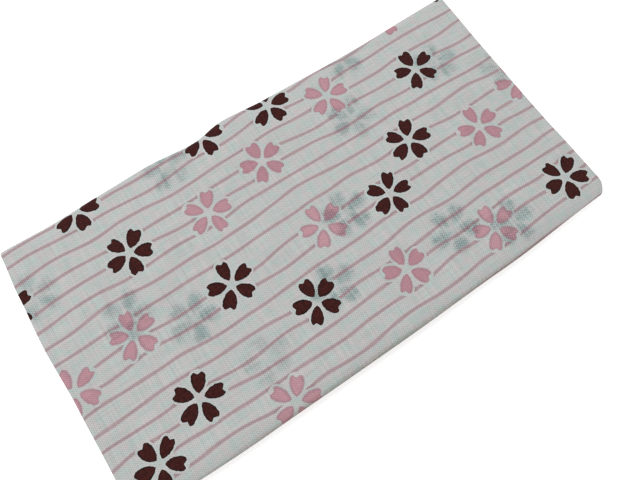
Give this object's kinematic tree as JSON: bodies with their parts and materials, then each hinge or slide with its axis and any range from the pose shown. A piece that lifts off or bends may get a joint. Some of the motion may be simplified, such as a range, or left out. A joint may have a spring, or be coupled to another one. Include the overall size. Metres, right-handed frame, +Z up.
{
  "type": "folded towel",
  "caption": "Thin cotton towel folded flat into a small oblong pad, with a tight fold along one long edge and a full rounded fold along the other.",
  "frame": {"origin": "middle of the folded towel's footprint, on the surface that it lies on", "axes": "+X along the pad from the pressed end to the looped end, +Y across the pad from the full rounded fold to the tight fold, +Z up through the layers"},
  "size_m": [0.226, 0.1204, 0.0086],
  "materials": {
    "printed_cotton": "matte plain-woven cotton, dyed with dark maroon and pink blossoms over thin wavy pink stripes on greyish white"
  },
  "bodies": {
    "root": {"folded_towel": "printed_cotton"}
  },
  "joints": []
}
